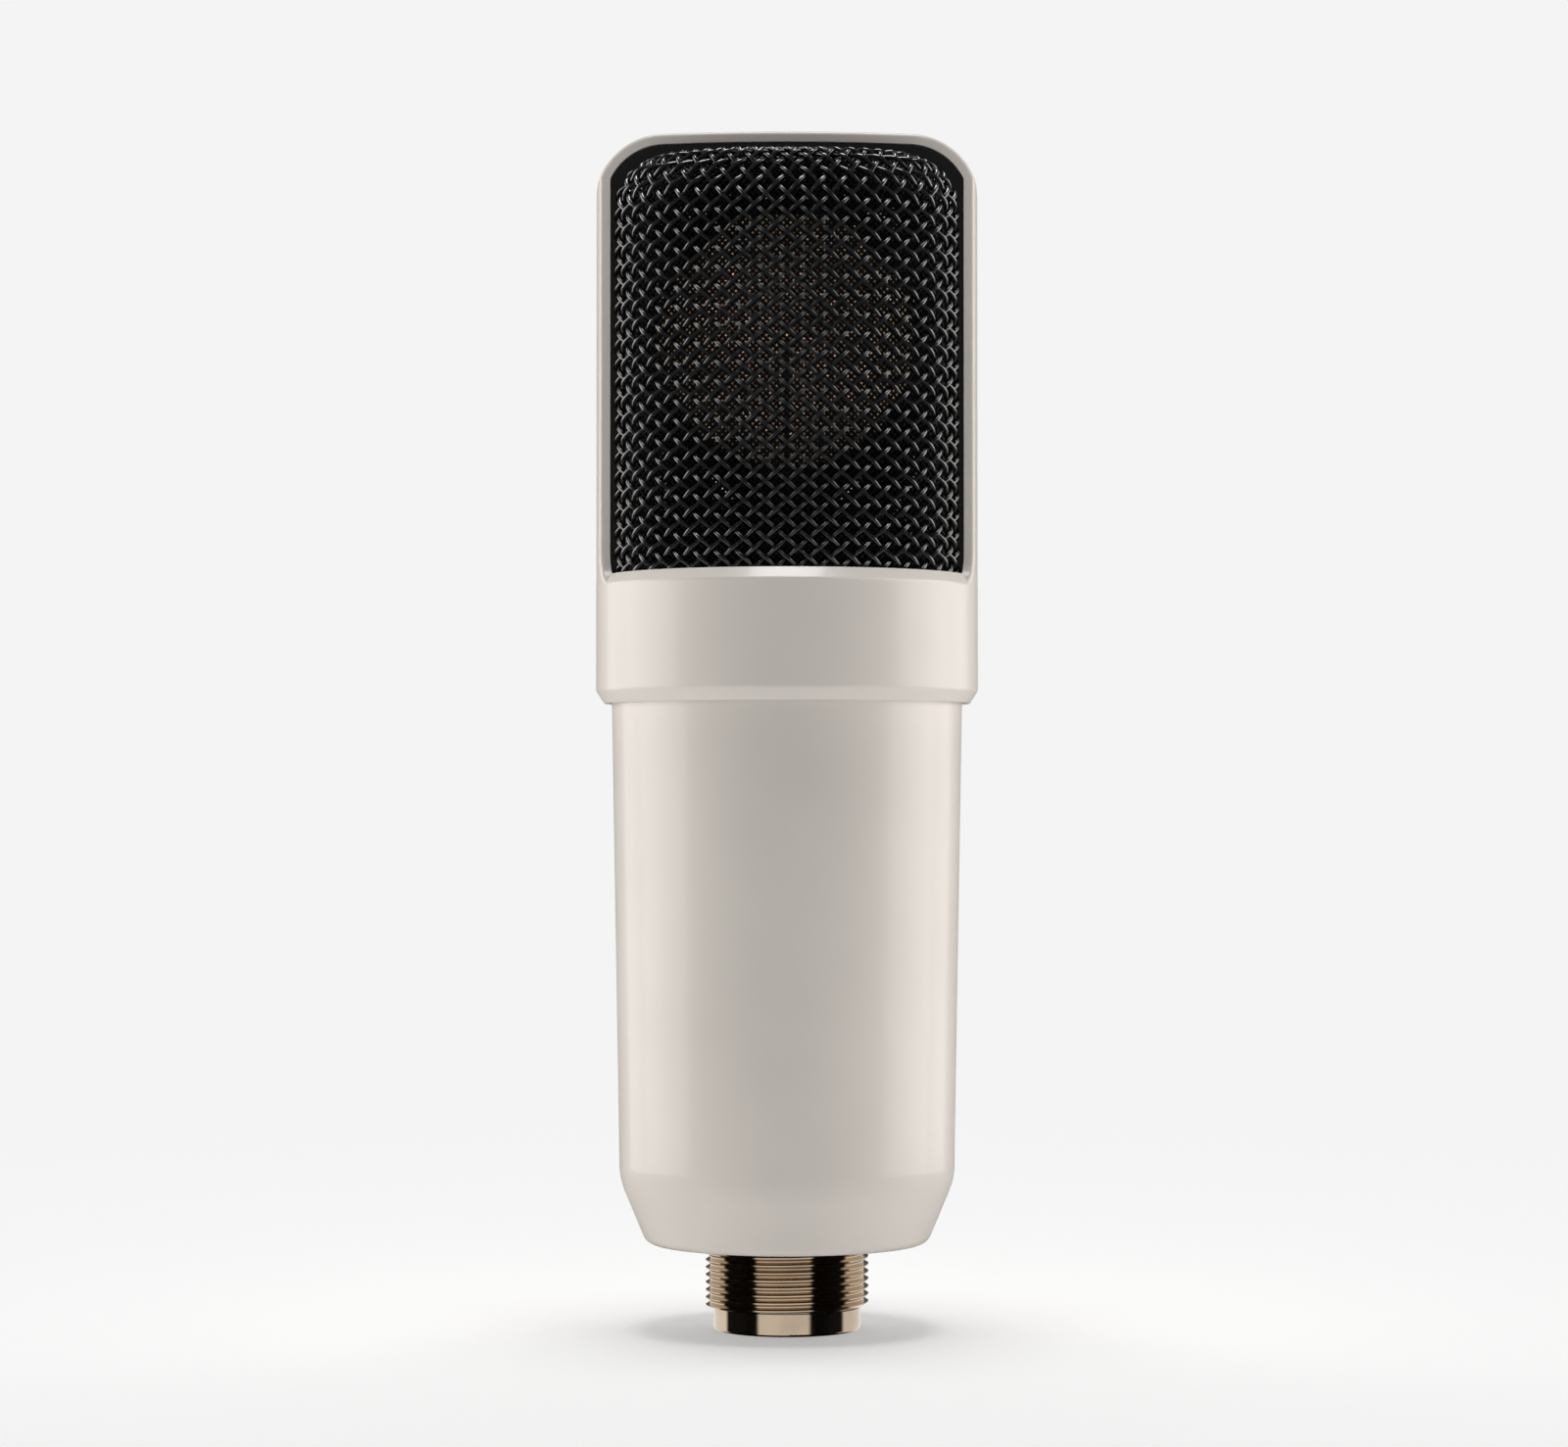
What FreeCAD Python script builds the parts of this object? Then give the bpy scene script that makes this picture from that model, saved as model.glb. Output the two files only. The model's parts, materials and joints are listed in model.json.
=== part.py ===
"""Side-address condenser microphone, modelled as it comes apart on a bench.

Frame: millimetres, +Z up along the microphone, origin at the centre of the flat rim it
stands on, -Y the side that is spoken into. Each named sub-part is written to parts/NODE.step.
"""
import FreeCAD
import Part
import math
import os

V = FreeCAD.Vector
X, Y, Z = V(1, 0, 0), V(0, 1, 0), V(0, 0, 1)
parts = {}

# ---------------------------------------------------------------- driving dimensions
collar_r = 25.8          # the round collar, the widest place
collar_bottom_z = 84.3
collar_top_z = 101.6
wall = 1.4               # wall of the hoop over the grille
hoop_r = 25.78           # the hoop's legs follow the collar, just inside its surface
hoop_inner_r = 24.45
hoop_half_w = 25.92      # half width of the hoop's arch before its legs are turned to hoop_r
hoop_top_z = 161.1       # outer top of the hoop, which is the overall height
hoop_corner_r = 9.6
hoop_crown_r = 420.0     # the slight crown of the hoop's top
hoop_half_depth = 6.0    # half the hoop's width, front to back
hoop_foot_r = 4.5        # fillet where the hoop's legs widen into the collar
hoop_foot_half = 11.2    # half the width of a leg's foot, front to back
hoop_low_z = 98.6        # the legs start inside the collar
hoop_edge_r = 0.5        # rounding of the hoop's outer front and back edges
collar_step = 1.5        # the collar's top and bottom edges slope over this height
deck_top_z = 100.6       # deck inside the collar that the grille stands on
deck_thickness = 3.0
deck_hole_r = 12.0       # for the capsule's leads

grille_a = 23.9          # half width of the grille in plan, a superellipse
grille_b = 17.6          # half depth of the grille in plan
grille_power = 2.5
grille_top_z = 158.1
grille_roll_side = 7.5   # how far the top rolls over at the sides
grille_roll_front = 5.0  # and at the front and the back
grille_thickness = 1.2   # two wires of the coarse weave
liner_gap = 0.15
liner_thickness = 0.5
rim_front_y = 5.2        # the grille halves end here, against their rims
rim_back_y = 0.05        # where the two rims meet
rim_gap = 0.08           # solder gap between a rim and the hoop
rim_width = 2.9
rim_inner_half_w = 21.2  # half width of the rim's window, and the radius of its upper corners
rim_inner_corner_r = 5.4

tube_top_r = 23.68       # body tube just under the collar
tube_kink_r = 22.58      # body tube where the lower cone starts
tube_kink_z = 20.3
tube_kink_round = 9.0
tube_floor_z = 11.6
tube_floor_r = 18.95
tube_wall = 1.8
tube_floor = 2.4         # thickness of the tube's closed lower end
tube_low_wall = 1.2      # wall just above that end, which leaves room for the lower end plate
tube_gap = 0.22          # slip fit of the tube in the collar
tube_top_z = 88.3        # the tube's end, inside the collar
gasket_top_z = 89.3      # rubber ring between the tube's end and the collar's pocket

nose_r = 9.9             # smooth nose under the thread
thread_r = 11.0          # M22 x 1 outside thread
thread_pitch = 1.0
thread_depth = 0.61
thread_bottom_z = 3.3
neck_r = 9.8             # neck of the base, screwed into the lower end plate
neck_top_z = 20.0
socket_r = 8.15          # bore that takes the cable plug
socket_depth = 15.0
shell_r = 9.0            # sleeve of the socket's shell, inside the threaded base
groove_z = (3.4, 4.6)    # latch groove round the socket's bore
insulator_r = 8.6        # seat of the insulator at the top of the bore
pin_r = 1.2
pin_tip_z = 3.8
pin_top_z = 21.0
cup_r = 0.7              # solder cup in the top of each pin
pin_places = {"1": (-3.81, 2.03), "2": (3.81, 2.03), "3": (0.0, -4.32)}

plate_gap = 0.05         # running gap between parts that slide together
touch_gap = 0.02         # the least gap between two pieces that touch
beyond = 1.0             # a cutting shape reaches this far past the face it cuts
room = 30.0              # more than half the microphone's width, for shapes that are cut down to it
lower_plate_r = 17.0
lower_plate_z = (14.05, 19.05)
upper_plate_r = 21.7
upper_plate_z = (93.6, 97.6)
rail_x = 15.5            # middle of each chassis rail
rail_width, rail_depth = 4.0, 6.0
rail_y = 1.5             # middle of the rails' depth
rail_foot_x = 13.0       # middle of the foot at the rail's lower end
rail_foot_width, rail_foot_height = 5.0, 6.0
counterbore = 1.6        # depth that sinks the rail screws' heads into the end plates
lead_hole_r = 8.0        # hole in the upper plate for the capsule's leads
board_size = (35.0, 1.6, 60.0)
board_low_z = 25.0
board_screw_inset = 4.0  # from the board's top and bottom edges

capsule_z = 133.0        # middle of the capsule
capsule_r = 17.0
diaphragm_r = 12.7       # the inch-wide membrane that shows inside the clamp ring
backplate_t = 3.9
capsule_half = 0.6       # half the thickness of the centre spacer
saddle_half_depth = 4.0
saddle_x = 15.0          # the saddle's two screws
saddle_base_t = 2.4
saddle_gap = 0.1         # between the capsule and its cradle
isolator_h = 2.0
lead_r = 0.45            # insulated hook-up wire

# screws: shank radius, head radius, head height, shank length
screw_sizes = {
    "rail": (1.0, 2.0, 1.3, 7.0),
    "deck": (1.45, 2.6, 1.6, 5.6),
    "board": (0.9, 1.9, 1.2, 5.4),
    "saddle": (1.0, 2.0, 1.2, 7.2),
    "ring": (0.6, 1.15, 0.7, 3.1),
    "terminal": (0.8, 1.7, 0.8, 2.0),
}
tapped_gap, clear_gap, head_gap = 0.02, 0.1, 0.2


# ---------------------------------------------------------------- helpers
def save(name, *solids):
    """One node: a solid, or a group of separate solids of the same kind."""
    shape = solids[0] if len(solids) == 1 else Part.makeCompound(list(solids))
    parts[name] = shape


def rod(radius, start, end, axis=Z, at=(0, 0)):
    """A cylinder along an axis from start to end. at is its place on the two other axes."""
    base = {"X": V(start, *at), "Y": V(at[0], start, at[1]), "Z": V(*at, start)}
    letter = "X" if axis == X else "Y" if axis == Y else "Z"
    return Part.makeCylinder(radius, end - start, base[letter], axis)


def ring(outer, inner, start, end, axis=Z, at=(0, 0)):
    return rod(outer, start, end, axis, at).cut(rod(inner, start, end, axis, at))


def block(x0, x1, y0, y1, z0, z1):
    return Part.makeBox(x1 - x0, y1 - y0, z1 - z0, V(x0, y0, z0))


def on_xz(u, v):
    return V(u, 0, v)


def on_yz(u, v):
    return V(0, u, v)


def rounded_face(corners, plane):
    """A flat face from (u, v, corner radius) points, with an arc at each rounded corner."""
    places = [(c[0], c[1], c[2] if len(c) > 2 else 0.0) for c in corners]
    stretches = []
    for i, (u, v, radius) in enumerate(places):
        here = V(u, v, 0)
        before = V(*places[i - 1][:2], 0) - here
        after = V(*places[(i + 1) % len(places)][:2], 0) - here
        if radius == 0.0:
            stretches.append((here, None, here))
            continue
        before.normalize()
        after.normalize()
        half = before.getAngle(after) / 2
        middle = before + after
        middle.normalize()
        reach = radius / math.tan(half)
        arc_middle = here + middle * (radius / math.sin(half) - radius)
        stretches.append((here + before * reach, arc_middle, here + after * reach))
    edges = []
    for i, (start, arc_middle, end) in enumerate(stretches):
        if arc_middle is not None:
            bend = [plane(p.x, p.y) for p in (start, arc_middle, end)]
            edges.append(Part.Arc(*bend).toShape())
        following = stretches[(i + 1) % len(stretches)][0]
        if end.distanceToPoint(following) > 1e-6:
            line = Part.LineSegment(plane(end.x, end.y), plane(following.x, following.y))
            edges.append(line.toShape())
    return Part.Face(Part.Wire(edges))


def turned(corners):
    """A solid of revolution about Z from (radius, z, corner radius) points."""
    return rounded_face(corners, on_xz).revolve(V(0, 0, 0), Z, 360)


def sideways(corners, half_width):
    """A (y, z) outline extruded along X, half_width each way."""
    face = rounded_face(corners, on_yz)
    face.translate(V(-half_width, 0, 0))
    return face.extrude(V(2 * half_width, 0, 0))


def arch_corner(half_width, top_z, corner_r, crown_r):
    """x and z of the centre of an arch's right corner, whose arc touches the side and the crown."""
    corner_x = half_width - corner_r
    return corner_x, top_z - crown_r + math.sqrt((crown_r - corner_r) ** 2 - corner_x ** 2)


def arch(half_width, top_z, corner_r, crown_r, low_z, half_depth):
    """An upright arch, extruded along Y: straight sides, round corners and a crowned top."""
    crown_centre = top_z - crown_r
    corner_x, corner_z = arch_corner(half_width, top_z, corner_r, crown_r)
    lean = math.atan2(corner_x, corner_z - crown_centre)
    meet_x = corner_x + corner_r * math.sin(lean)
    meet_z = corner_z + corner_r * math.cos(lean)
    half = (math.pi / 2 + lean) / 2
    bend_x = corner_x + corner_r * math.sin(half)
    bend_z = corner_z + corner_r * math.cos(half)
    edges = [
        Part.LineSegment(on_xz(-half_width, low_z), on_xz(-half_width, corner_z)),
        Part.Arc(on_xz(-half_width, corner_z), on_xz(-bend_x, bend_z), on_xz(-meet_x, meet_z)),
        Part.Arc(on_xz(-meet_x, meet_z), on_xz(0, top_z), on_xz(meet_x, meet_z)),
        Part.Arc(on_xz(meet_x, meet_z), on_xz(bend_x, bend_z), on_xz(half_width, corner_z)),
        Part.LineSegment(on_xz(half_width, corner_z), on_xz(half_width, low_z)),
        Part.LineSegment(on_xz(half_width, low_z), on_xz(-half_width, low_z)),
    ]
    face = Part.Face(Part.Wire([e.toShape() for e in edges]))
    face.translate(V(0, -half_depth, 0))
    return face.extrude(V(0, 2 * half_depth, 0))


def half_outline(a, b, z):
    """The half of |x/a|^n + |y/b|^n = 1 in front of the hoop at height z, closed by a straight line."""
    end_x = a * (1 - (rim_front_y / b) ** grille_power) ** (1 / grille_power)
    start = math.atan2(rim_front_y, end_x)
    count = 17
    points = []
    for i in range(count):
        angle = start + (math.pi - 2 * start) * i / (count - 1)
        c, s = math.cos(angle), math.sin(angle)
        reach = (abs(c / a) ** grille_power + abs(s / b) ** grille_power) ** (-1 / grille_power)
        points.append(V(reach * c, -reach * s, z))
    curve = Part.BSplineCurve()
    curve.interpolate(Points=points, Parameters=[i / (count - 1) for i in range(count)])
    close = Part.LineSegment(points[-1], points[0])
    return Part.Wire([curve.toShape(), close.toShape()])


def half_dome(inset):
    """The front half of the grille as a solid, drawn in by inset: an upright wall and a rolled top."""
    a, b = grille_a - inset, grille_b - inset
    top = grille_top_z - inset
    side, front = grille_roll_side - inset, grille_roll_front - inset
    low, shoulder = deck_top_z + plate_gap, top - side - 3.0
    outlines = [half_outline(a, b, shoulder)]
    for turn in range(0, 91, 15):
        rise, draw = math.sin(math.radians(turn)), 1 - math.cos(math.radians(turn))
        outlines.append(half_outline(a - side * draw, b - front * draw, top - side * (1 - rise)))
    roll = Part.makeLoft(outlines, True, False)
    upright = Part.Face(outlines[0]).extrude(V(0, 0, low - shoulder))
    return upright.fuse(roll)


def half_shell(inset, thickness):
    """A skin of the given thickness just inside the grille's front half. The rear half mirrors it."""
    front = half_dome(inset).cut(half_dome(inset + thickness))
    return front, front.mirror(V(0, 0, 0), Y)


def tapped(kind):
    """Radius of the hole that a screw of this kind threads into."""
    return screw_sizes[kind][0] + tapped_gap


def clear(kind):
    """Radius of the hole that a screw of this kind passes through."""
    return screw_sizes[kind][0] + clear_gap


def screw(kind, at, into, axis):
    """A slotted screw, its head's underside at a point and its shank along axis, or back if into is -1."""
    shank_r, head_r, head_h, length = screw_sizes[kind]
    head = Part.makeCylinder(head_r, head_h, at, axis * -into)
    shank = Part.makeCylinder(shank_r, length, at, axis * into)
    slot_w, slot_h = head_h, head_h / 2
    slot = Part.makeBox(2 * head_r + beyond, slot_w, slot_h, V(-head_r - beyond / 2, -slot_w / 2, 0))
    slot.Placement = FreeCAD.Placement(at + axis * (-into * head_h), FreeCAD.Rotation(Z, axis * into))
    return head.fuse(shank).cut(slot).removeSplitter()


def circle_of(count, radius, middle=(0, 0), first=0.0):
    """Places evenly round a circle, the first at an angle in degrees."""
    turns = [math.radians(first + 360 * i / count) for i in range(count)]
    return [(middle[0] + radius * math.cos(a), middle[1] + radius * math.sin(a)) for a in turns]


def drilled(solid, radius, start, end, axis, places):
    """The solid with one hole along the axis at each place."""
    return solid.cut(Part.makeCompound([rod(radius, start, end, axis, p) for p in places]))


def lead(points, radius):
    """A wire through points. The arc at each bend takes 0.45 of the shorter run, up to 4 mm of it."""
    spots = [V(*p) for p in points]
    edges = []
    start = spots[0]
    for i in range(1, len(spots) - 1):
        back = spots[i - 1] - spots[i]
        on = spots[i + 1] - spots[i]
        reach = min(0.45 * back.Length, 0.45 * on.Length, 4.0)
        back.normalize()
        on.normalize()
        half = back.getAngle(on) / 2
        bend = reach * math.tan(half)
        middle = back + on
        middle.normalize()
        arc_middle = spots[i] + middle * (bend / math.sin(half) - bend)
        arc_end = spots[i] + on * reach
        edges.append(Part.LineSegment(start, spots[i] + back * reach).toShape())
        edges.append(Part.Arc(spots[i] + back * reach, arc_middle, arc_end).toShape())
        start = arc_end
    edges.append(Part.LineSegment(start, spots[-1]).toShape())
    circle = Part.Wire(Part.makeCircle(radius, spots[0], spots[1] - spots[0]))
    return Part.Wire(edges).makePipeShell([circle], True, True)


# ---------------------------------------------------------------- head frame
deck_low_z = deck_top_z - deck_thickness
deck_screw_places = circle_of(4, 17.0, first=45)
saddle_screw_places = [(-saddle_x, 0.0), (saddle_x, 0.0)]


def head_frame():
    """Die-cast collar, deck and hoop in one piece."""
    pocket_r = tube_top_r + tube_gap
    recess_r = upper_plate_r + clear_gap
    collar = turned([
        (pocket_r, collar_bottom_z),
        (collar_r - 1.1, collar_bottom_z, 0.25),
        (collar_r, collar_bottom_z + 1.7, 0.9),
        (collar_r, collar_top_z - collar_step, 0.5),
        (collar_r - 1.3, collar_top_z, 0.12),
        (collar_r - wall, collar_top_z),
        (collar_r - wall, deck_top_z),
        (deck_hole_r, deck_top_z),
        (deck_hole_r, deck_low_z),
        (recess_r, deck_low_z),
        (recess_r, gasket_top_z),
        (pocket_r, gasket_top_z),
    ])
    collar = drilled(collar, tapped("deck"), deck_low_z - beyond, deck_top_z - 0.5, Z, deck_screw_places)
    collar = drilled(collar, tapped("saddle"), deck_low_z - beyond, deck_top_z + beyond, Z,
                     saddle_screw_places)
    outer = arch(hoop_half_w, hoop_top_z, hoop_corner_r, hoop_crown_r, hoop_low_z, room)
    outer = outer.common(rod(hoop_r, deck_low_z, hoop_top_z + beyond))
    inner = arch(hoop_half_w - wall, hoop_top_z - wall, hoop_corner_r - wall, hoop_crown_r - wall,
                 hoop_low_z - beyond, room)
    inner = inner.common(rod(hoop_inner_r, deck_low_z - beyond, hoop_top_z + beyond))
    foot_z, high_z = collar_top_z - collar_step, hoop_top_z + beyond
    legs = sideways([
        (-hoop_foot_half, hoop_low_z), (-hoop_foot_half, foot_z), (-hoop_half_depth, foot_z, hoop_foot_r),
        (-hoop_half_depth, high_z), (hoop_half_depth, high_z), (hoop_half_depth, foot_z, hoop_foot_r),
        (hoop_foot_half, foot_z), (hoop_foot_half, hoop_low_z),
    ], room)
    hoop = soften_hoop(outer.cut(inner).common(legs))
    return collar.fuse(hoop).removeSplitter()


def soften_hoop(hoop):
    """Rounds the hoop's outer front and back edges, which catch the light."""
    corner_x, corner_z = arch_corner(hoop_half_w, hoop_top_z, hoop_corner_r, hoop_crown_r)
    edges = []
    for edge in hoop.Edges:
        middle = edge.valueAt((edge.FirstParameter + edge.LastParameter) / 2)
        across, up = abs(middle.x) - corner_x, middle.z - corner_z
        on_a_leg = math.hypot(middle.x, middle.y) > (hoop_r + hoop_inner_r) / 2
        outside = on_a_leg or middle.z > hoop_top_z - wall / 2
        if across > 0 and up > 0:
            outside = outside or math.hypot(across, up) > hoop_corner_r - wall / 2
        on_a_face = abs(abs(middle.y) - hoop_half_depth) < touch_gap
        if on_a_face and outside and edge.Length > wall + hoop_edge_r:
            edges.append(edge)
    return hoop.makeFillet(hoop_edge_r, edges)


save("head_frame", head_frame())

# ---------------------------------------------------------------- grille
front_shell, rear_shell = half_shell(0, grille_thickness)
save("front_grille", front_shell)
save("rear_grille", rear_shell)
front_shell, rear_shell = half_shell(grille_thickness + liner_gap, liner_thickness)
save("front_grille_liner", front_shell)
save("rear_grille_liner", rear_shell)


def grille_rim(low_y, high_y):
    """The strip inside the hoop that a grille half is soldered to."""
    inset = wall + rim_gap
    top = hoop_top_z - inset
    corner, crown = hoop_corner_r - inset, hoop_crown_r - inset
    outer = arch(hoop_half_w - inset, top, corner, crown, deck_top_z + plate_gap, room)
    outer = outer.common(rod(collar_r - inset, deck_low_z, hoop_top_z))
    inner = arch(rim_inner_half_w, top - rim_width, rim_inner_corner_r, crown - rim_width, deck_low_z, room)
    return outer.cut(inner).common(block(-room, room, low_y, high_y, deck_low_z, hoop_top_z))


save("front_grille_rim", grille_rim(-rim_front_y + touch_gap, -rim_back_y))
save("rear_grille_rim", grille_rim(rim_back_y, rim_front_y - touch_gap))

# ---------------------------------------------------------------- body tube
taper = (tube_top_r - tube_kink_r) / (collar_bottom_z - tube_kink_z)
tube_end_r = tube_top_r + taper * (tube_top_z - collar_bottom_z)
base_hole_r = neck_r + 0.15


def body_tube():
    """A gently tapered tube, drawn in to a flat floor with a hole for the threaded base's neck."""
    return turned([
        (base_hole_r, tube_floor_z),
        (tube_floor_r, tube_floor_z, 1.7),
        (tube_kink_r, tube_kink_z, tube_kink_round),
        (tube_end_r, tube_top_z, 0.3),
        (tube_end_r - tube_wall, tube_top_z),
        (tube_kink_r - tube_wall, tube_kink_z + 0.6, tube_kink_round - tube_wall),
        (tube_floor_r - tube_low_wall, tube_floor_z + tube_floor),
        (base_hole_r, tube_floor_z + tube_floor),
    ])


save("body_tube", body_tube())
save("tube_gasket", ring(tube_end_r, tube_end_r - tube_wall + clear_gap,
                         tube_top_z + touch_gap, gasket_top_z - touch_gap))


# ---------------------------------------------------------------- threaded base
def threaded_base():
    """The outside thread and the neck above it in one turned piece, bored for the socket's shell."""
    barrel = ring(thread_r, shell_r + plate_gap, thread_bottom_z, tube_floor_z - plate_gap)
    neck = ring(neck_r, shell_r + plate_gap, tube_floor_z - 1.0, neck_top_z)
    return cut_thread(barrel).fuse(neck)


def socket_shell():
    """The smooth nose and the sleeve above it, with a latch groove round the bore and a seat at its top."""
    return turned([
        (socket_r + 0.4, 0),
        (nose_r, 0, 0.35),
        (nose_r, thread_bottom_z - 0.3),
        (nose_r - 0.25, thread_bottom_z - 0.2),
        (nose_r - 0.25, thread_bottom_z - plate_gap),
        (shell_r, thread_bottom_z - plate_gap),
        (shell_r, neck_top_z),
        (insulator_r, neck_top_z),
        (insulator_r, socket_depth),
        (socket_r, socket_depth),
        (socket_r, groove_z[1]),
        (socket_r + 0.45, groove_z[1]),
        (socket_r + 0.45, groove_z[0]),
        (socket_r, groove_z[0]),
        (socket_r, 0.4),
    ])


def cut_thread(blank):
    """Cuts one right-hand V groove from the bottom of the threaded length to its top."""
    low = thread_bottom_z - thread_pitch
    high = tube_floor_z + 0.2
    helix = Part.makeHelix(thread_pitch, high - low, thread_r)
    helix.translate(V(0, 0, low))
    half_root = thread_pitch * 0.0625
    deep, out = thread_r - thread_depth, thread_r + 0.12
    spread = thread_pitch * 0.485
    groove = Part.makePolygon([
        V(out, 0, low - spread), V(deep, 0, low - half_root),
        V(deep, 0, low + half_root), V(out, 0, low + spread), V(out, 0, low - spread),
    ])
    cutter = Part.Wire(helix).makePipeShell([groove], True, True)
    return blank.cut(cutter)


save("threaded_base", threaded_base())
save("socket_shell", socket_shell())

# ---------------------------------------------------------------- cable socket
insulator_high_z = neck_top_z - 0.6
insulator = turned([
    (0, socket_depth + touch_gap), (insulator_r - 0.03, socket_depth + touch_gap, 0.2),
    (insulator_r - 0.03, insulator_high_z, 0.2), (0, insulator_high_z),
])
insulator = drilled(insulator, pin_r + 0.01, socket_depth - beyond, neck_top_z, Z, pin_places.values())
save("socket_insulator", insulator)


def socket_pin(x, y):
    """A round-nosed contact with a solder cup in its top, cut open on one side."""
    pin = rod(pin_r, pin_tip_z, pin_top_z, Z, (x, y))
    tip = min(pin.Edges, key=lambda e: e.CenterOfMass.z)
    pin = pin.makeFillet(0.9, [tip])
    cup = rod(cup_r, pin_top_z - 1.4, pin_top_z + beyond, Z, (x, y))
    opening = block(x - pin_r, x, y - pin_r, y + pin_r, insulator_high_z + 0.5, pin_top_z + beyond)
    return pin.cut(cup).cut(opening)


for number, place in pin_places.items():
    save("socket_pin_" + number, socket_pin(*place))

# ---------------------------------------------------------------- chassis
rails, rail_screws = {}, []
rail_low, rail_high = lower_plate_z[1], upper_plate_z[0]
lower_head_z = lower_plate_z[0] + counterbore
upper_head_z = upper_plate_z[1] - counterbore
head_r = screw_sizes["rail"][1] + head_gap
upper_plate = rod(upper_plate_r, *upper_plate_z)
upper_plate = upper_plate.cut(rod(lead_hole_r, rail_high - beyond, upper_plate_z[1] + beyond))
lower_plate = rod(lower_plate_r, *lower_plate_z)
lower_plate = lower_plate.cut(rod(neck_r + plate_gap, lower_plate_z[0] - beyond, rail_low + beyond))


def rail_bar(x, foot_x):
    """A square bar tapped at both ends, on a foot that is set in to clear the narrower end of the tube."""
    front, back = rail_y - rail_depth / 2, rail_y + rail_depth / 2
    foot_high = rail_low + rail_foot_height
    bar = block(x - rail_width / 2, x + rail_width / 2, front, back, foot_high - beyond, rail_high)
    foot_half = rail_foot_width / 2
    foot = block(foot_x - foot_half, foot_x + foot_half, front, back, rail_low, foot_high)
    rail = bar.fuse(foot).removeSplitter()
    rail = rail.cut(rod(tapped("rail"), rail_low - beyond, foot_high - beyond, Z, (foot_x, rail_y)))
    return rail.cut(rod(tapped("rail"), rail_high - rail_foot_height, rail_high + beyond, Z, (x, rail_y)))


for side, sign in (("left", -1), ("right", 1)):
    x, foot_x = sign * rail_x, sign * rail_foot_x
    rails[side] = rail_bar(x, foot_x)
    low, high = (foot_x, rail_y), (x, rail_y)
    lower_plate = lower_plate.cut(rod(clear("rail"), lower_head_z - beyond, rail_low + beyond, Z, low))
    lower_plate = lower_plate.cut(rod(head_r, lower_plate_z[0] - beyond, lower_head_z, Z, low))
    upper_plate = upper_plate.cut(rod(clear("rail"), rail_high - beyond, upper_head_z + beyond, Z, high))
    upper_plate = upper_plate.cut(rod(head_r, upper_head_z, upper_plate_z[1] + beyond, Z, high))
    rail_screws.append(screw("rail", V(*low, lower_head_z), 1, Z))
    rail_screws.append(screw("rail", V(*high, upper_head_z), -1, Z))

upper_plate = drilled(upper_plate, clear("deck"), rail_high - beyond, upper_plate_z[1] + beyond, Z,
                      deck_screw_places)
save("lower_end_plate", lower_plate)
save("upper_end_plate", upper_plate)
save("rail_screws", *rail_screws)
save("deck_screws", *[screw("deck", V(*p, upper_plate_z[0]), 1, Z) for p in deck_screw_places])

# ---------------------------------------------------------------- circuit board
board_w, board_t, board_h = board_size
board_back = rail_y - rail_depth / 2
board_front = board_back - board_t
board_screw_z = (board_low_z + board_screw_inset, board_low_z + board_h - board_screw_inset)
board = block(-board_w / 2, board_w / 2, board_front, board_back, board_low_z, board_low_z + board_h)
board_screws = []
for side, x in (("left", -rail_x), ("right", rail_x)):
    places = [(x, z) for z in board_screw_z]
    board = drilled(board, clear("board"), board_front - beyond, board_back + beyond, Y, places)
    rails[side] = drilled(rails[side], tapped("board"), board_back - beyond, rail_y + beyond, Y, places)
    board_screws += [screw("board", V(x, board_front, z), 1, Y) for x, z in places]
save("left_rail", rails["left"])
save("right_rail", rails["right"])
save("circuit_board", board)
save("board_screws", *board_screws)


def film_capacitor(x, z, width, depth, height):
    box = block(x - width / 2, x + width / 2, board_front - depth, board_front, z - height / 2,
                z + height / 2)
    return box.makeFillet(0.6, box.Edges)


save("film_capacitors", film_capacitor(-7.0, 74.0, 13.0, 6.5, 8.0),
     film_capacitor(7.5, 74.0, 10.0, 6.0, 8.0), film_capacitor(-7.5, 63.5, 11.0, 5.0, 7.0))


def can_capacitor(x, z, radius, height):
    """An electrolytic can that stands off the board's front, with its crimp groove."""
    can = rod(radius, board_front - height, board_front, Y, (x, z))
    groove = ring(radius + 1, radius - 0.3, board_front - 2.2, board_front - 1.5, Y, (x, z))
    return can.cut(groove)


save("electrolytic_capacitors", *[can_capacitor(x, z, r, h) for x, z, r, h in (
    (8.0, 62.5, 4.0, 11.0), (9.0, 51.5, 4.0, 11.0), (-1.5, 53.0, 3.2, 9.0), (-10.0, 53.0, 3.2, 9.0))])


def resistor(x, z):
    """An axial resistor over the board: a waisted body, and a leg at each end bent down to the board."""
    half, cap = 3.2, 1.3
    body = turned([(0, -half), (1.2, -half, 0.3), (1.2, cap - half, 0.1), (0.95, cap - half, 0.1),
                   (0.95, half - cap, 0.1), (1.2, half - cap, 0.1), (1.2, half, 0.3), (0, half)])
    body.rotate(V(0, 0, 0), Y, 90)
    body.translate(V(x, board_front - 1.3, z))
    over, along = half + 1.2, board_front - 1.3
    legs = [lead([(x + s * half, along, z), (x + s * over, along, z), (x + s * over, board_front, z)], 0.3)
            for s in (-1, 1)]
    return [body] + legs


resistor_places = [(x, z) for x in (-10.0, 2.0) for z in (31.0, 34.5, 38.0, 41.5)]
save("resistors", *[solid for x, z in resistor_places for solid in resistor(x, z)])


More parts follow.
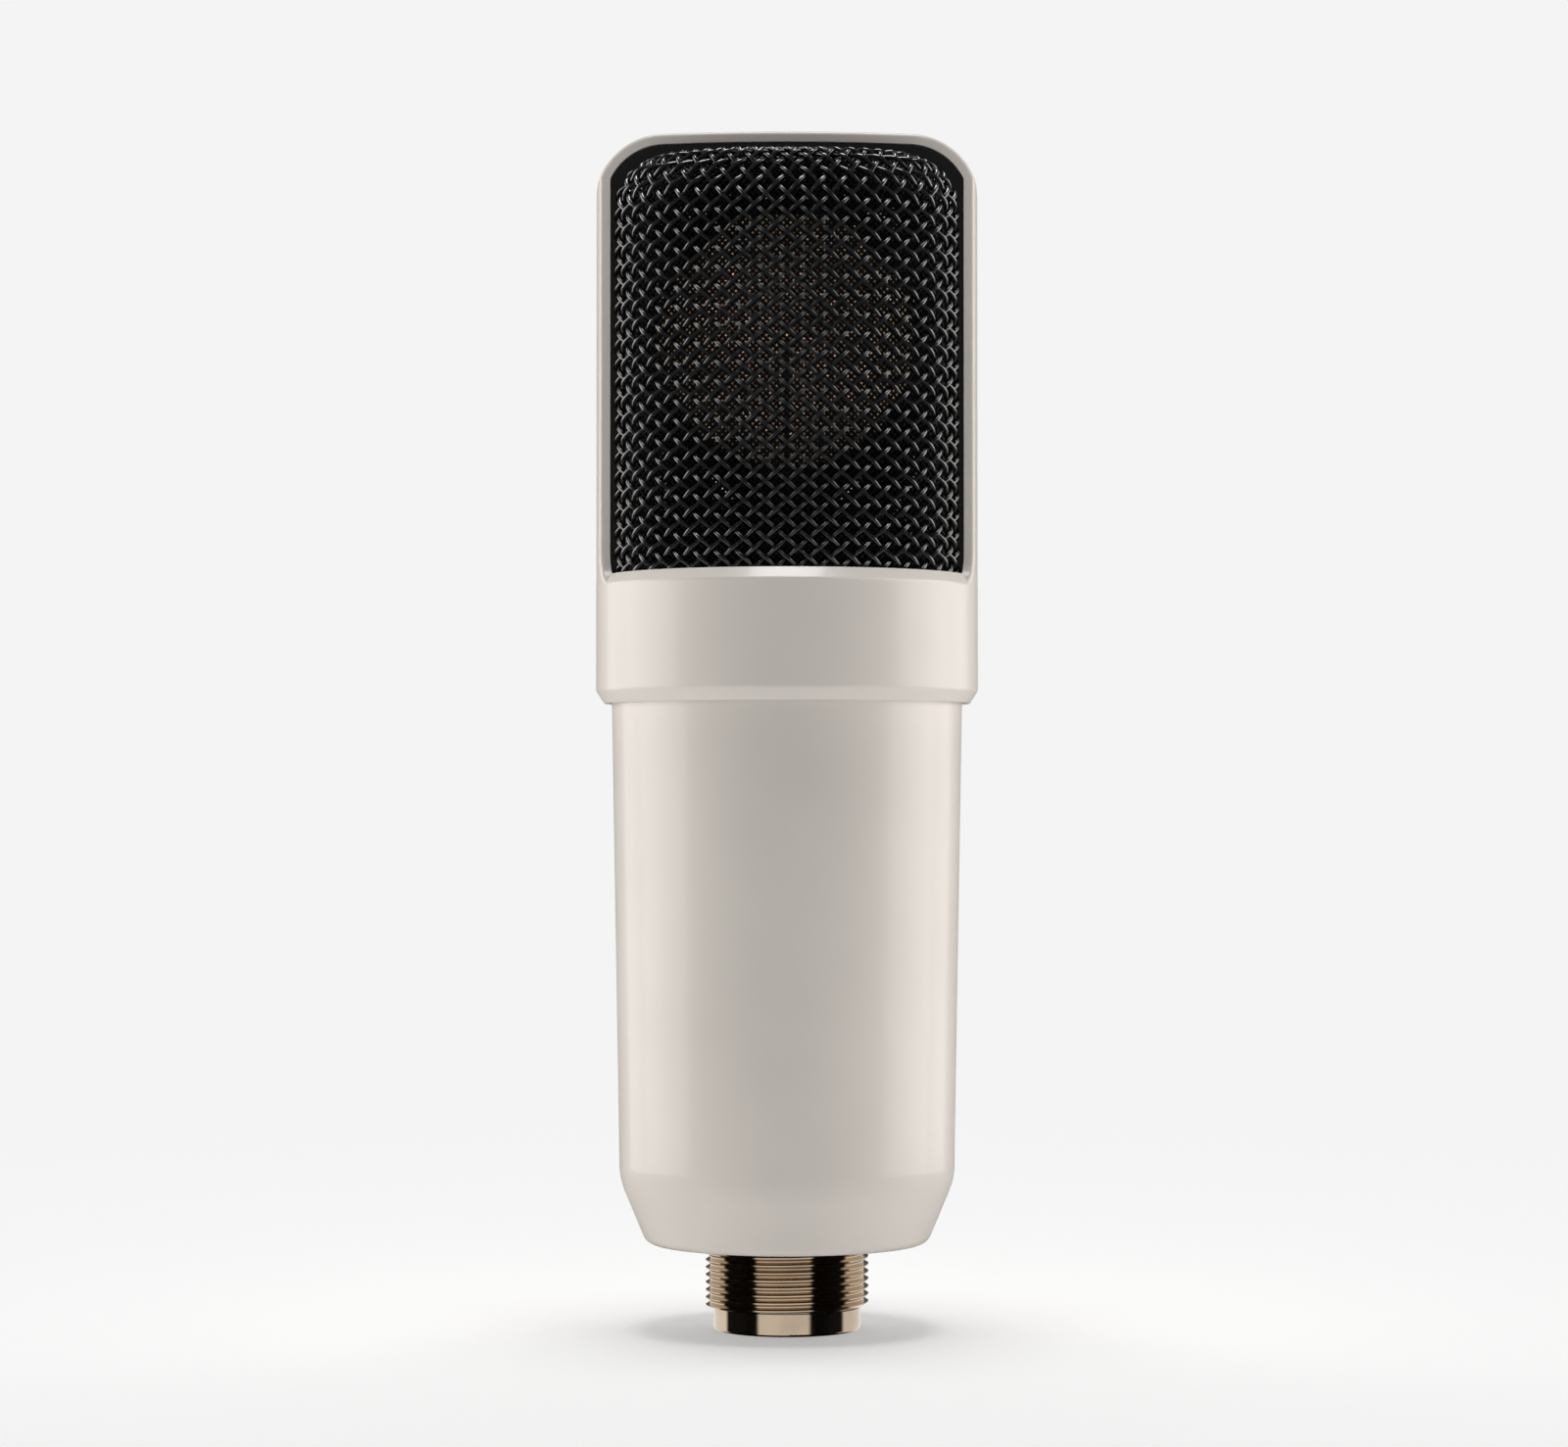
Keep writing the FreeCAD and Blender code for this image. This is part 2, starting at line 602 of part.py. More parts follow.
def transistor(x, z):
    """A small-signal transistor: a D-shaped block on three legs."""
    case = rod(2.3, board_front - 6.2, board_front - 1.7, Y, (x, z))
    case = case.cut(block(x - 3, x + 3, board_front - 7, board_front, z + 1.3, z + 4))
    legs = [rod(0.25, board_front - 2.2, board_front, Y, (x + d, z)) for d in (-1.27, 0, 1.27)]
    return case.fuse(legs).removeSplitter()


save("transistors", *[transistor(x, z) for x, z in ((12.6, 33.0), (12.6, 40.0), (-12.5, 45.8), (3.0, 46.5))])
shield = block(-8.5, 8.5, board_back, board_back + 7.0, 66.0, 80.0)
save("input_shield", shield.cut(block(-8.1, 8.1, board_back - 1, board_back + 6.6, 66.4, 79.6)))

# ---------------------------------------------------------------- capsule
capsule_at = (0, capsule_z)
ring_screw_places = circle_of(8, 14.8, capsule_at, first=22.5)
backplate_holes = [p for r, n in ((4.0, 6), (7.2, 12), (10.4, 18)) for p in circle_of(n, r, capsule_at)]
film_t = 0.12            # gold-coated film on its backing, thickened so that it stays a solid
clamp_t = 1.1
film_r = 16.4
vent_r = 0.55            # holes through each backplate
spacer_hole_r = 5.0
blind_depth = 2.1        # depth of a backplate's tapped holes
backplate_y = capsule_half + backplate_t
film_y = backplate_y + 0.01
clamp_y = film_y + film_t + 0.01
ring_head_y = clamp_y + clamp_t


def outwards(sign, near, far):
    """The stretch of Y from near to far on one side of the middle, lower end first."""
    return sorted((sign * near, sign * far))


save("capsule_spacer", ring(capsule_r, spacer_hole_r, -capsule_half, capsule_half, Y, capsule_at))
for side, sign in (("front", -1), ("rear", 1)):
    low, high = outwards(sign, capsule_half, backplate_y)
    plate = rod(capsule_r, low, high, Y, capsule_at)
    plate = drilled(plate, vent_r, low - beyond, high + beyond, Y, backplate_holes)
    blind = outwards(sign, backplate_y - blind_depth, backplate_y + beyond)
    plate = drilled(plate, tapped("ring"), *blind, Y, ring_screw_places)
    plate = plate.cut(rod(tapped("terminal"), *blind, Y, capsule_at))
    save(side + "_backplate", plate)
    film_span = outwards(sign, film_y, film_y + film_t)
    film = ring(film_r, clear("terminal"), *film_span, Y, capsule_at)
    save(side + "_diaphragm", drilled(film, clear("ring"), *film_span, Y, ring_screw_places))
    clamp_span = outwards(sign, clamp_y, ring_head_y)
    clamp = ring(capsule_r, diaphragm_r, *clamp_span, Y, capsule_at)
    save(side + "_clamp_ring", drilled(clamp, clear("ring"), *clamp_span, Y, ring_screw_places))
    save(side + "_ring_screws", *[screw("ring", V(x, sign * ring_head_y, z), -sign, Y)
                                  for x, z in ring_screw_places])
    save(side + "_terminal", screw("terminal", V(0, sign * clamp_y, capsule_z), -sign, Y))

# ---------------------------------------------------------------- capsule saddle
saddle_low = deck_top_z + isolator_h + plate_gap
saddle_top = saddle_low + saddle_base_t
ear_r, arm_half = 3.4, 3.4


def saddle():
    """Moulded cradle that holds the capsule's lower edge, its windowed post, and its base with two ears."""
    hold_r = capsule_r + saddle_gap
    cradle = ring(hold_r + 2.5, hold_r, -saddle_half_depth, saddle_half_depth, Y, capsule_at)
    drop = room * 0.42       # the cradle's ends, as a slope from the capsule's middle
    middle = on_xz(0, capsule_z)
    left_end, right_end = on_xz(-room, capsule_z - drop), on_xz(room, capsule_z - drop)
    left_low, right_low = on_xz(-room, capsule_z - room), on_xz(room, capsule_z - room)
    fan = Part.makePolygon([middle, left_end, left_low, right_low, right_end, middle])
    fan.translate(V(0, -room, 0))
    cradle = cradle.common(Part.Face(fan).extrude(V(0, 2 * room, 0)))
    post_top = capsule_z - capsule_r
    post = block(-7.2, 7.2, -saddle_half_depth, saddle_half_depth, saddle_low, post_top)
    post = post.cut(rod(hold_r, -room, room, Y, capsule_at))
    post = post.cut(block(-3.2, 3.2, -room, room, saddle_low + 4.5, post_top - 4.6))
    base = rod(9.5, saddle_low, saddle_top)
    ears = [rod(ear_r, saddle_low, saddle_top, Z, p) for p in saddle_screw_places]
    arms = block(-saddle_x, saddle_x, -arm_half, arm_half, saddle_low, saddle_top)
    whole = cradle.fuse([post, base, arms] + ears)
    whole = drilled(whole, clear("saddle"), saddle_low - beyond, saddle_top + beyond, Z, saddle_screw_places)
    return whole.removeSplitter()


save("capsule_saddle", saddle())
save("saddle_isolators", *[ring(2.8, clear("saddle"), deck_top_z + plate_gap, saddle_low - touch_gap, Z, p)
                           for p in saddle_screw_places])
save("saddle_screws", *[screw("saddle", V(*p, saddle_top), -1, Z) for p in saddle_screw_places])

# ---------------------------------------------------------------- wiring
terminal_top_y = clamp_y + screw_sizes["terminal"][2] + touch_gap
for side, sign, board_face in (("front", -1, board_front), ("rear", 1, board_back)):
    save("capsule_lead_" + side, lead([
        (0, sign * terminal_top_y, capsule_z), (0, sign * 6.7, capsule_z),
        (0, sign * 6.7, 116.0), (0, sign * 10.8, 108.0), (0, sign * 10.8, 100.0),
        (0, sign * 5.6, 96.4), (0, sign * 5.6, 83.0), (0, board_face + sign * touch_gap, 83.0),
    ], lead_r))
for number, (x, y) in pin_places.items():
    board_face = board_front - touch_gap if y < board_front else board_back + touch_gap
    route = [(x, y, pin_top_z + touch_gap), (x, y, 28.0), (x, board_face, 28.0)]
    save("socket_lead_" + number, lead(route, lead_r))

# ---------------------------------------------------------------- write the files
os.makedirs("parts", exist_ok=True)
for name, shape in parts.items():
    shape.exportStep("parts/" + name + ".step")
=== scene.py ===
# %% [markdown]
# # A side-address studio microphone
# The microphone arrives as a finished engineering model: every turned, cast and moulded piece is already
# there at its real size. What is left is what an engineer's solids don't carry: the woven wire of the head,
# and the finish of each surface. Everything is in metres, in the model's own frame, so a new piece goes
# where the model says. The model is loaded first and its box is kept.

# %% Load the engineering model
import json
import math

import bpy
import numpy as np
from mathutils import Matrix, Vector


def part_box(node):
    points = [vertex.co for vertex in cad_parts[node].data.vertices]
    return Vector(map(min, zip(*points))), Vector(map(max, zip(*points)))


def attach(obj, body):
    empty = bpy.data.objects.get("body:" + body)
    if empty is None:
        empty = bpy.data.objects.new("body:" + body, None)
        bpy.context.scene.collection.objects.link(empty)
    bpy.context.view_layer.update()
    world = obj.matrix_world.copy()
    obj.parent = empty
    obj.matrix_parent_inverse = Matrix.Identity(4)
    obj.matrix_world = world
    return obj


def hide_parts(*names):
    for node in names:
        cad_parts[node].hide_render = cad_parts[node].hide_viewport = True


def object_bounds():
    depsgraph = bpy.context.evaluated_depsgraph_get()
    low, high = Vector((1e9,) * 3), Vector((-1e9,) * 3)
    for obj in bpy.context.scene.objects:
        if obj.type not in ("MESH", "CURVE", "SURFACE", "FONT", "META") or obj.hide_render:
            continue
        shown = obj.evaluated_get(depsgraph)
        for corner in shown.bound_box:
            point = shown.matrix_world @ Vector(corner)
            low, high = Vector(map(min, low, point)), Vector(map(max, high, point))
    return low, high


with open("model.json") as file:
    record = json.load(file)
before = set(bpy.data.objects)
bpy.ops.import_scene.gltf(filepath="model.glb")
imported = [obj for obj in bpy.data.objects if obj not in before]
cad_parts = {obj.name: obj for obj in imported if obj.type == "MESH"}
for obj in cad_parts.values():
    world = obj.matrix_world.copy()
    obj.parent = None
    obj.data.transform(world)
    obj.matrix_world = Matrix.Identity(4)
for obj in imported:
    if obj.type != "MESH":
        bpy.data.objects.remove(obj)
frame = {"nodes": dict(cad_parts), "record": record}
cad_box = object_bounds()
MM = 0.001
box_in_mm = [[round(c / MM, 1) for c in corner] for corner in cad_box]
print("pieces:", len(frame["nodes"]), "box in mm:", box_in_mm)

# %% [markdown]
# ## Shader maths as plain Python
# A material's pattern is arithmetic on noise and position. Node by node that arithmetic is hard to read, so
# one small class wraps a socket and lets +, - and * write the Math nodes. Colours never go through it,
# because a Math node would turn them grey: they are mixed by their own nodes.


# %% Socket wrapper
class Value:
    """A number that varies over a surface: one node socket, with arithmetic that adds Math nodes."""

    def __init__(self, maker, socket):
        self.maker, self.socket = maker, socket

    def math(self, operation, *others, first=True):
        inputs = [self, *others] if first else [*others, self]
        return self.maker.node("ShaderNodeMath", {"operation": operation}, dict(enumerate(inputs)))

    def __add__(self, other):
        return self.math("ADD", other)

    def __sub__(self, other):
        return self.math("SUBTRACT", other)

    def __mul__(self, other):
        return self.math("MULTIPLY", other)

    def __rsub__(self, other):
        return self.math("SUBTRACT", other, first=False)

    __radd__, __rmul__ = __add__, __mul__

    def between(self, low, high):
        """0 below low, 1 above high, and straight between."""
        settings = {"clamp": True}
        links = {"Value": self, "From Min": low, "From Max": high}
        return self.maker.node("ShaderNodeMapRange", settings, links)


# %% [markdown]
# ## One material, built by name
# Every finish here starts from the same shader. A small builder makes it, sets the numbers that are the
# same all over straight on the shader, and adds the noise, colour mixes and bump that vary. Patterns read
# the object's own coordinates, so they stay with the piece.


# %% Material builder
class Finish:
    """One material. base holds the numbers that are the same all over, set straight on the shader."""

    def __init__(self, name, **base):
        self.material = bpy.data.materials.new(name)
        self.material.use_nodes = True
        self.tree = self.material.node_tree
        self.shader = self.tree.nodes["Principled BSDF"]
        for socket, value in base.items():
            self.shader.inputs[socket.replace("_", " ")].default_value = value
        self.place = self.node("ShaderNodeTexCoord", output="Object")

    def node(self, kind, settings=None, links=None, output=0):
        """Adds a node: its settings first, then the values or links of its sockets. Returns one output."""
        made = self.tree.nodes.new(kind)
        for key, value in (settings or {}).items():
            setattr(made, key, value)
        for key, value in (links or {}).items():
            if isinstance(value, Value):
                self.tree.links.new(value.socket, made.inputs[key])
            else:
                made.inputs[key].default_value = value
        return Value(self, made.outputs[output])

    def noise(self, size, detail=3.0, stretch=(1, 1, 1)):
        """Noise with blotches about size metres across, drawn out along an axis where stretch is below 1."""
        where = self.node("ShaderNodeMapping", None, {"Vector": self.place, "Scale": stretch})
        return self.node("ShaderNodeTexNoise", None, {"Vector": where, "Scale": 1 / size, "Detail": detail})

    def mix(self, factor, first, second):
        """A colour between two, by a factor that varies over the surface."""
        settings = {"data_type": "RGBA"}
        return self.node("ShaderNodeMix", settings, {0: factor, 6: first, 7: second}, output=2)

    def bump(self, height, distance, strength=1.0):
        links = {"Height": height, "Distance": distance, "Strength": strength}
        return self.node("ShaderNodeBump", None, links)

    def set(self, socket, value):
        self.tree.links.new(value.socket, self.shader.inputs[socket])


def rgb(red, green, blue):
    return (red, green, blue, 1.0)


def grey(level):
    return rgb(level, level, level)


# %% [markdown]
# ## Baked enamel
# The body and the head frame are painted metal: a warm off-white enamel with a semi-gloss skin. Sprayed
# paint is never quite flat. It dries with an "orange peel" a millimetre or so across, and its colour drifts
# a little, so the finish has a shallow bump, a faint drift of tone and a slight drift of roughness under a
# thin clear coat.


# %% Enamel
def enamel(name, colour, peel=0.9):
    paint = Finish(name, Specular_IOR_Level=0.5, Coat_Roughness=0.12, Coat_IOR=1.45)
    drift = paint.noise(22 * MM, 2.0)      # a slow change over the body
    speck = paint.noise(0.35 * MM, 2.0)    # grains too small to see one by one
    darker = rgb(*[channel * 0.955 for channel in colour])
    paint.set("Base Color", paint.mix(drift.between(0.35, 0.7), rgb(*colour), darker))
    paint.set("Roughness", 0.31 + 0.06 * drift + 0.03 * speck)
    paint.set("Coat Weight", 0.25 + 0.1 * drift)
    skin = paint.noise(peel * MM, 1.0) + 0.25 * speck
    paint.set("Normal", paint.bump(skin, 0.02 * MM, 0.35))
    return paint.material


warm_white = enamel("warm_white_enamel", (0.81, 0.757, 0.702))
print("made", warm_white.name)


# %% [markdown]
# ## Plated and bare metals
# One recipe covers every metal here: a metallic shader with fine lines in its roughness, like the marks
# that a lathe tool or a mill leaves, and a faint drift of tone. Each call gives its own colour, polish,
# grain and direction.


# %% Metals
def metal(name, colour, roughness, grain=0.25, stretch=(1, 1, 8), drift_size=6.0):
    """A metal with fine lines. stretch above 1 along an axis packs the lines closer along it."""
    plate = Finish(name, Specular_IOR_Level=0.5)
    plate.shader.inputs["Metallic"].default_value = 1.0
    lines = plate.noise(grain * MM, 2.0, stretch)
    drift = plate.noise(drift_size * MM, 2.0)
    duller = rgb(*[channel * 0.8 for channel in colour])
    plate.set("Base Color", plate.mix(drift.between(0.35, 0.75), rgb(*colour), duller))
    plate.set("Roughness", roughness + 0.12 * roughness * lines + 0.3 * roughness * (drift - 0.5))
    plate.set("Normal", plate.bump(lines, 0.004 * MM, 0.3))
    return plate.material


black_nickel = metal("black_nickel", (0.60, 0.49, 0.37), 0.09, grain=0.5)
gold_plate = metal("gold_plate", (0.90, 0.66, 0.33), 0.2)
gold_film = metal("gold_film", (0.92, 0.58, 0.42), 0.16, grain=1.2, stretch=(1, 1, 1))
lapped_brass = metal("lapped_brass", (0.72, 0.53, 0.30), 0.3, stretch=(1, 6, 1))
milled_aluminium = metal("milled_aluminium", (0.78, 0.78, 0.79), 0.34)
zinc_steel = metal("zinc_steel", (0.62, 0.62, 0.64), 0.3)
tinned_sheet = metal("tinned_sheet", (0.70, 0.70, 0.70), 0.38, stretch=(1, 1, 1))


# %% [markdown]
# ## Wire, plastics and rubber
# The woven wire is lacquered black, so it is a dark dielectric under a clear coat rather than bare metal.
# The plastics and the rubber share the recipe, with another roughness and a different speckle.


# %% Lacquers, plastics and rubber
def moulded(name, colour, roughness, speckle=0.5, coat=0.0, bump=0.01, shine=0.5):
    body = Finish(name, Specular_IOR_Level=shine, Coat_Roughness=0.1)
    fine = body.noise(speckle * MM, 3.0)
    broad = body.noise(9 * MM, 2.0)
    lighter = rgb(*[min(1.0, channel * 1.35 + 0.004) for channel in colour])
    body.set("Base Color", body.mix(broad.between(0.3, 0.75), rgb(*colour), lighter))
    body.set("Roughness", roughness + 0.1 * (fine - 0.5) + 0.08 * (broad - 0.5))
    body.set("Coat Weight", coat + 0.05 * broad)
    body.set("Normal", body.bump(fine, bump * MM, 0.4))
    return body.material


# %% [markdown]
# ## The colours of wire, plastic and rubber
# The coarse wire is the glossiest, because its bright glints are what make a weave read as wire. The fine
# wire behind it is duller, so it stays a dark ground. The rest are inside and get the colours that such
# components have.

# %% Name the moulded finishes
black_lacquer = moulded("black_wire_lacquer", (0.004, 0.004, 0.0045), 0.22, speckle=0.2, coat=0.9, shine=1.0)
fine_lacquer = moulded("fine_wire_lacquer", (0.003, 0.003, 0.0035), 0.35, speckle=0.15)
navy_plastic = moulded("navy_plastic", (0.012, 0.016, 0.05), 0.4)
black_plastic = moulded("black_plastic", (0.02, 0.02, 0.021), 0.45)
ivory_plastic = moulded("ivory_plastic", (0.72, 0.69, 0.58), 0.35)
soft_rubber = moulded("soft_rubber", (0.02, 0.02, 0.02), 0.75, speckle=0.3)
board_laminate = moulded("board_laminate", (0.02, 0.14, 0.05), 0.3, coat=0.3)
red_case = moulded("red_capacitor_case", (0.40, 0.04, 0.03), 0.28, coat=0.4)
blue_sleeve = moulded("blue_capacitor_sleeve", (0.02, 0.03, 0.09), 0.35)
blue_lacquer = moulded("blue_resistor_lacquer", (0.18, 0.38, 0.52), 0.3, coat=0.3)
black_jacket = moulded("black_wire_jacket", (0.015, 0.015, 0.015), 0.4)
white_jacket = moulded("white_wire_jacket", (0.75, 0.75, 0.72), 0.4)
print("finishes so far:", len(bpy.data.materials))

# %% [markdown]
# ## Dress the engineered pieces
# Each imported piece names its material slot, so one table of slot to finish dresses them all.

# %% Assign the finishes
finish_of_slot = {
    "enamel": warm_white, "dark_nickel": black_nickel, "black_wire": black_lacquer, "fine_wire": fine_lacquer,
    "black_strip": black_lacquer, "soft_rubber": soft_rubber, "navy_plastic": navy_plastic,
    "black_plastic": black_plastic, "gold_contact": gold_plate, "gold_film": gold_film,
    "capsule_brass": lapped_brass, "spacer_plastic": ivory_plastic, "plate_aluminium": milled_aluminium,
    "screw_steel": zinc_steel, "tinned_steel": tinned_sheet, "board_green": board_laminate,
    "capacitor_red": red_case, "capacitor_sleeve": blue_sleeve, "resistor_blue": blue_lacquer,
    "lead_black": black_jacket, "lead_white": white_jacket,
}
for part in frame["record"]["subparts"]:
    piece = frame["nodes"][part["node"]]
    for holder in piece.material_slots:
        holder.material = finish_of_slot[part["material_slot"]]

# %% [markdown]
# ## The woven head
# On the real microphone a sheet of plain-woven wire is pressed over a former and soldered into the hoop.
# The sheet's shape is a superellipse in plan, upright at first, then rolled over at the top. So the surface
# is worked out first, as a function of the distance along the sheet's foot and the distance up it, and the
# wires are drawn on that.

# %% The shape the wire is pressed to
grille_low, grille_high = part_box("front_grille")
POWER = 2.5                      # of the superellipse in plan
HALF_WIDTH = 23.9 * MM
HALF_DEPTH = -grille_low.y
HOOP_EDGE = -grille_high.y       # the sheet ends here, in front of and behind the middle
FOOT = grille_low.z
TOP = grille_high.z
SIDE_ROLL, FRONT_ROLL = 7.5 * MM, 5.0 * MM
print("half depth", round(HALF_DEPTH / MM, 2), "edge", round(HOOP_EDGE / MM, 2), "top", round(TOP / MM, 2))


# %% The sheet in plan
def plan_point(share, a, b):
    """
    x and y on |x/a|^n + |y/b|^n = 1, from the hoop's edge (share 0) round the front to its other edge
    (share 1). At a given angle the reach from the middle is (|cos/a|^n + |sin/b|^n) ^ (-1/n).
    """
    end_x = a * (1 - (HOOP_EDGE / b) ** POWER) ** (1 / POWER)
    start = np.arctan2(HOOP_EDGE, end_x)
    angle = start + (math.pi - 2 * start) * share
    c, s = np.cos(angle), np.sin(angle)
    reach = (np.abs(c / a) ** POWER + np.abs(s / b) ** POWER) ** (-1 / POWER)
    return reach * c, -reach * s


# %% The sheet, unrolled
class Sheet:
    """The pressed sheet at one depth under the outside, with distances measured along it."""

    def __init__(self, inset):
        self.a, self.b = HALF_WIDTH - inset, HALF_DEPTH - inset
        self.top = TOP - inset
        self.side, self.front = SIDE_ROLL - inset, FRONT_ROLL - inset
        self.share = np.linspace(0, 1, 1001)
        x, y = plan_point(self.share, self.a, self.b)
        self.along = np.concatenate([[0], np.cumsum(np.hypot(np.diff(x), np.diff(y)))])
        self.length = self.along[-1]
        self.wall = self.top - self.side - FOOT
        self.roll = math.pi / 2 * math.sqrt((self.side ** 2 + self.front ** 2) / 2)

    def point(self, s, v):
        """
        Distance s along the foot and v up: an upright wall, a quarter ellipse that draws in by 1 - cos(turn)
        and climbs by sin(turn), then straight back to the hoop.
        """
        share = np.interp(s, self.along, self.share)
        turn = np.clip((v - self.wall) / self.roll, 0, 1) * math.pi / 2
        draw = 1 - np.cos(turn)
        x, y = plan_point(share, self.a - self.side * draw, self.b - self.front * draw)
        z = FOOT + np.minimum(v, self.wall) + self.side * np.sin(turn)
        back = np.clip(v - self.wall - self.roll, 0, None)
        return np.stack([x, y + back, z], axis=-1)

    def outward(self, s, v):
        """The sheet's unit normal, from two small steps along it."""
        step = 0.05 * MM
        across = self.point(s + step, v) - self.point(s - step, v)
        up = self.point(s, v + step) - self.point(s, v - step)
        normal = np.cross(up, across)
        return normal / np.linalg.norm(normal, axis=-1, keepdims=True)

    def inside(self, s, v):
        """True where the sheet has wire: between its two edges, above its foot and in front of the hoop."""
        reach = self.point(s, v)[..., 1] < -HOOP_EDGE + 0.01 * MM
        return (s >= 0) & (s <= self.length) & (v >= 0) & reach


OUTER_INSET = 0.6 * MM           # the coarse cloth reaches 0.6 mm either side of its middle
outer_sheet = Sheet(OUTER_INSET)
print("sheet is", round(outer_sheet.length / MM, 1), "mm round")


# %% [markdown]
# ## Weaving
# In a plain weave each wire passes over and under the ones that cross it. With the crossings numbered along
# both ways, the height of a wire is a cosine that changes sign at each crossing, and the other way's wires
# have the opposite sign, so where two wires cross their middles are one wire's thickness apart. Here the
# cloth is cut on the bias, so the two ways climb at about forty degrees either side of level.


# %% Tubes along many paths
def tube_rings(path, normal, radius, sides):
    """Rings of points round a path: the radius times cosine along the normal plus sine along the binormal."""
    forward = np.gradient(path, axis=0)
    forward /= np.linalg.norm(forward, axis=1, keepdims=True)
    across = np.cross(forward, normal)
    across /= np.linalg.norm(across, axis=1, keepdims=True)
    upright = np.cross(across, forward)
    angle = np.arange(sides) * 2 * math.pi / sides
    around = np.cos(angle)[None, :, None] * upright[:, None] + np.sin(angle)[None, :, None] * across[:, None]
    return path[:, None] + radius * around


def tube_faces(rings, sides, first):
    """Quads between neighbouring rings: point k of ring j joins point k + 1 and both in ring j + 1."""
    ring = np.arange(rings - 1)[:, None] * sides
    here = np.arange(sides)[None]
    beside = (here + 1) % sides
    quads = np.stack([ring + here, ring + beside, ring + sides + beside, ring + sides + here], axis=-1)
    return quads.reshape(-1, 4) + first


# %% Arrays to a mesh
def make_mesh(name, points, quads, caps, material):
    """A mesh object from arrays: quads as one block of faces, then the end caps."""
    mesh = bpy.data.meshes.new(name)
    sides = caps.shape[1]
    mesh.vertices.add(len(points))
    mesh.vertices.foreach_set("co", points.astype(np.float32).ravel())
    corners = np.concatenate([quads.ravel(), caps.ravel()]).astype(np.int32)
    starts = np.concatenate([np.arange(len(quads)) * 4, len(quads) * 4 + np.arange(len(caps)) * sides])
    mesh.loops.add(len(corners))
    mesh.loops.foreach_set("vertex_index", corners)
    mesh.polygons.add(len(starts))
    mesh.polygons.foreach_set("loop_start", starts.astype(np.int32))
    smooth = np.concatenate([np.ones(len(quads), bool), np.zeros(len(caps), bool)])
    mesh.polygons.foreach_set("use_smooth", smooth)
    mesh.update(calc_edges=True)
    mesh.validate()
    mesh.materials.append(material)
    piece = bpy.data.objects.new(name, mesh)
    bpy.context.scene.collection.objects.link(piece)
    return piece


# %% [markdown]
# ## One way of the cloth
# A way is all the wires that run in one direction. Each is a straight line on the unrolled sheet, cut where
# the sheet ends, lifted off it by the cosine, and given its thickness. The rear half is the front half
# turned about the microphone's axis, which keeps the faces pointing out.


# %% Weave one way
def weave(name, sheet, lean, rise, radius, per_crossing, sides, sign, turned, material):
    """
    Wires that step (sign * lean, rise) from one crossing to the next, over the whole sheet. Point q of
    wire number n lies at s = middle + sign * lean * (q - n) and v = rise * (q + n), lifted off the sheet
    by sign * radius * cos(pi * (q + n)).
    """
    reach = sheet.wall + sheet.roll + HALF_DEPTH
    most = int(reach / rise + sheet.length / lean) // 2 + 4
    points, quads, caps, first = [], [], [], 0
    for other in range(-most, most + 1):
        q = np.arange(-most * per_crossing, most * per_crossing + 1) / per_crossing
        s = sheet.length / 2 + sign * lean * (q - other)
        v = rise * (q + other)
        keep = np.flatnonzero(sheet.inside(s, v))
        if len(keep) < 4:
            continue
        q, s, v = q[keep], s[keep], v[keep]
        normal = sheet.outward(s, v)
        height = sign * radius * np.cos(math.pi * (q + other))
        path = sheet.point(s, v) + height[:, None] * normal
        rings = tube_rings(path, normal, radius, sides)
        points.append(rings.reshape(-1, 3))
        quads.append(tube_faces(len(path), sides, first))
        last = first + (len(path) - 1) * sides
        caps += [first + np.arange(sides)[::-1], last + np.arange(sides)]
        first += len(path) * sides
    points = np.concatenate(points)
    if turned:
        points = points * [-1, -1, 1]
    piece = make_mesh(name, points, np.concatenate(quads), np.array(caps), material)
    print(name, len(piece.data.polygons), "faces")
    return piece


# %% Weave the coarse mesh
LEAN, RISE = 1.43 * MM, 1.26 * MM    # along and up from one crossing to the next
WIRE = 0.3 * MM                      # radius
WIRE_STEPS, WIRE_SIDES = 4, 8        # rings to a crossing, and points to a ring
HALVES = (("front", False), ("rear", True))
WAYS = (("rising", 1), ("falling", -1))
for half, turned in HALVES:
    for way, sign in WAYS:
        cloth = weave(f"{half}_weave_{way}", outer_sheet, LEAN, RISE, WIRE, WIRE_STEPS, WIRE_SIDES,
                      sign, turned, black_lacquer)
        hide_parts(f"{half}_grille")
        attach(cloth, "root")

# %% [markdown]
# ## The fine mesh behind it
# A second, closer cloth lies just inside the first, clear of it, and stops breath and pops. It is woven the
# same way, with thinner wire, closer crossings and fewer sides to each wire, because it is seen only
# through the first.

# %% Weave the fine mesh
INNER_INSET = 1.75 * MM
inner_sheet = Sheet(INNER_INSET)
FINE_STEP = 0.45 * MM
FINE_WIRE = 0.25 * MM
FINE_STEPS, FINE_SIDES = 2, 4
print("gap between the cloths in mm:", round((INNER_INSET - 2 * FINE_WIRE - OUTER_INSET - 2 * WIRE) / MM, 3))
for half, turned in HALVES:
    for way, sign in WAYS:
        cloth = weave(f"{half}_fine_{way}", inner_sheet, FINE_STEP, FINE_STEP, FINE_WIRE,
                      FINE_STEPS, FINE_SIDES, sign, turned, fine_lacquer)
        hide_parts(f"{half}_grille_liner")
        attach(cloth, "root")

